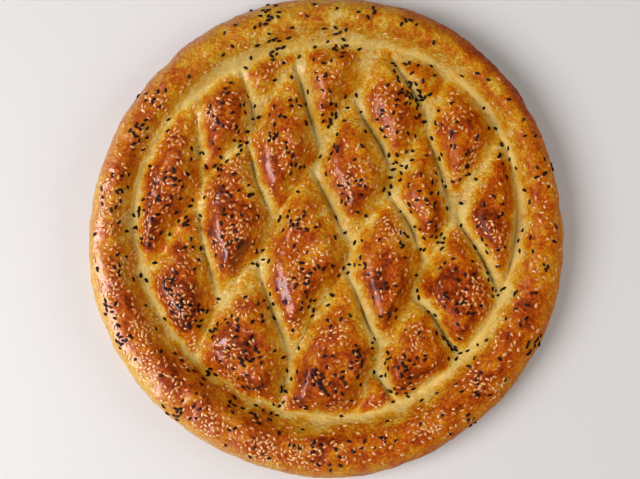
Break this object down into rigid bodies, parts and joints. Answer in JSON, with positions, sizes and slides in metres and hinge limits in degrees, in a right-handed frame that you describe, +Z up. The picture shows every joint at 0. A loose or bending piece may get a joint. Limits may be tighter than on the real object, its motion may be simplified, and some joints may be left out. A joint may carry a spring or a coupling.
{
  "type": "ramadan pide",
  "caption": "Round flat leavened bread with a puffed rim and a lattice of finger-pressed pillows, sprinkled with sesame and nigella seeds.",
  "frame": {"origin": "middle of the flat base, on the surface that the loaf lies on", "axes": "+Z up through the crust, +Y towards the loaf's top edge as the picture shows it, +X to the picture's right"},
  "size_m": [0.2785, 0.2817, 0.0305],
  "materials": {
    "crust": "baked crust with a thin egg-wash sheen",
    "sesame": "smooth toasted seed coat",
    "nigella": "matte black seed coat"
  },
  "bodies": {
    "root": {"pide": "crust"}
  },
  "joints": []
}
